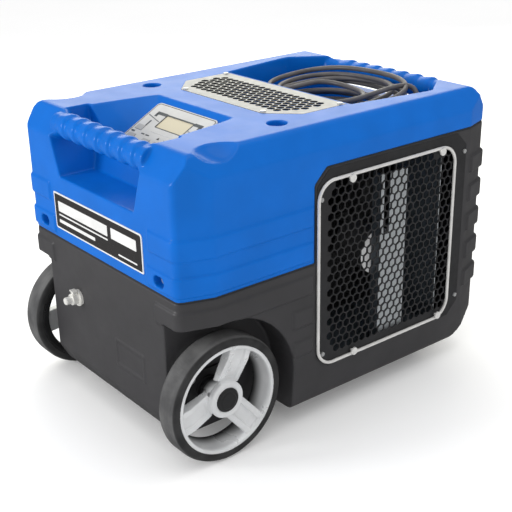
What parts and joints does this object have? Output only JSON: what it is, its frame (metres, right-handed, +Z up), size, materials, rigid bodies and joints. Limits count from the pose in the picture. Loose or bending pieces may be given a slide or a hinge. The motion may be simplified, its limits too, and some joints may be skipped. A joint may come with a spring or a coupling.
{
  "type": "commercial dehumidifier",
  "caption": "Portable two-wheeled dehumidifier: moulded two-colour case, grab handles front and rear, mesh side openings, sloped control panel and a cord tub in the top.",
  "frame": {"origin": "on the floor under the centre of the machine", "axes": "+X the air outlet side, -Y the front with the wheels and the drain coupling, +Z up"},
  "size_m": [0.443, 0.6338, 0.458],
  "materials": {
    "blue_moulding": "semi-gloss rotomoulded polyethylene",
    "black_moulding": "satin rotomoulded polyethylene",
    "black_sheet": "powder coat",
    "pale_sheet": "powder coat",
    "bright_steel": "polished",
    "zinc_steel": "zinc plated",
    "nickel": "nickel plated",
    "rubber": "matt",
    "tyre_rubber": "matt",
    "silver_plastic": "metallic lacquer",
    "black_plastic": "satin",
    "panel_overlay": "matt film",
    "key_cap": "matt film",
    "display_glass": "clear",
    "label": "gloss film",
    "cord": "satin",
    "aluminium_fins": "bare",
    "copper_line": "bare copper",
    "clear_hose": "translucent",
    "filter_pad": "pleated paper",
    "foam_core": "thin plastic plates"
  },
  "bodies": {
    "housing": {"upper_shell": "blue_moulding", "lower_shell": "black_moulding", "shell_gasket": "rubber", "shell_screws": "zinc_steel", "rear_feet": "rubber", "right_grille": "black_sheet", "left_grille": "black_sheet", "cover_screws": "zinc_steel", "right_duct_ring": "bright_steel", "left_duct_ring": "bright_steel", "ring_screws": "bright_steel", "top_vent_plate": "pale_sheet", "control_panel": "panel_overlay", "display_window": "display_glass", "nameplate": "label", "drain_coupling": "nickel", "drain_nut": "nickel", "power_cord": "cord", "cord_plug": "black_plastic", "stub_axles": "zinc_steel", "axle_clips": "zinc_steel", "axle_brackets": "black_sheet", "bracket_bolts": "zinc_steel", "chassis_plate": "zinc_steel", "bulkhead": "zinc_steel", "compressor": "black_sheet", "compressor_mounts": "rubber", "accumulator": "black_sheet", "refrigerant_lines": "copper_line", "evaporator": "aluminium_fins", "condenser": "aluminium_fins", "heat_exchanger": "foam_core", "drip_tray": "black_plastic", "fan_shroud": "black_sheet", "fan_motor": "zinc_steel", "fan_bracket": "bright_steel", "pump_reservoir": "black_plastic", "condensate_pump": "black_plastic", "drain_hose": "clear_hose", "air_filter": "filter_pad", "control_box": "black_plastic"},
    "fan": {"fan_impeller": "black_plastic"},
    "latch": {"coupling_latch": "nickel"},
    "float": {"pump_float": "foam_core"},
    "right_wheel": {"right_tyre": "tyre_rubber", "right_rim": "silver_plastic", "right_bush": "black_plastic", "right_hub_cap": "black_plastic"},
    "left_wheel": {"left_tyre": "tyre_rubber", "left_rim": "silver_plastic", "left_bush": "black_plastic", "left_hub_cap": "black_plastic"},
    "power_key": {"key_power": "key_cap"},
    "mode_key": {"key_mode": "key_cap"},
    "up_key": {"key_up": "key_cap"},
    "down_key": {"key_down": "key_cap"},
    "pump_key": {"key_pump": "key_cap"},
    "reset_key": {"key_reset": "key_cap"}
  },
  "joints": [
    {"name": "right_wheel_spin", "type": "hinge", "parent": "housing", "child": "right_wheel", "pos_m": [0.195, -0.22155, 0.0954], "axis": [1, 0, 0], "continuous": true},
    {"name": "left_wheel_spin", "type": "hinge", "parent": "housing", "child": "left_wheel", "pos_m": [-0.195, -0.22155, 0.0954], "axis": [1, 0, 0], "continuous": true},
    {"name": "fan_spin", "type": "hinge", "parent": "housing", "child": "fan", "pos_m": [0.089, 0.09245, 0.228], "axis": [1, 0, 0], "continuous": true},
    {"name": "latch_press", "type": "slide", "parent": "housing", "child": "latch", "axis": [0, 0, -1], "range_m": [0, 0.0015]},
    {"name": "float_drop", "type": "hinge", "parent": "housing", "child": "float", "pos_m": [-0.086, -0.17755, 0.086], "axis": [1, 0, 0], "range_deg": [0, 18]},
    {"name": "power_key_press", "type": "slide", "parent": "housing", "child": "power_key", "axis": [0, 0.4695, -0.8829], "range_m": [0, 0.0008]},
    {"name": "mode_key_press", "type": "slide", "parent": "housing", "child": "mode_key", "axis": [0, 0.4695, -0.8829], "range_m": [0, 0.0008]},
    {"name": "up_key_press", "type": "slide", "parent": "housing", "child": "up_key", "axis": [0, 0.4695, -0.8829], "range_m": [0, 0.0008]},
    {"name": "down_key_press", "type": "slide", "parent": "housing", "child": "down_key", "axis": [0, 0.4695, -0.8829], "range_m": [0, 0.0008]},
    {"name": "pump_key_press", "type": "slide", "parent": "housing", "child": "pump_key", "axis": [0, 0.4695, -0.8829], "range_m": [0, 0.0008]},
    {"name": "reset_key_press", "type": "slide", "parent": "housing", "child": "reset_key", "axis": [0, 0.4695, -0.8829], "range_m": [0, 0.0008]}
  ]
}
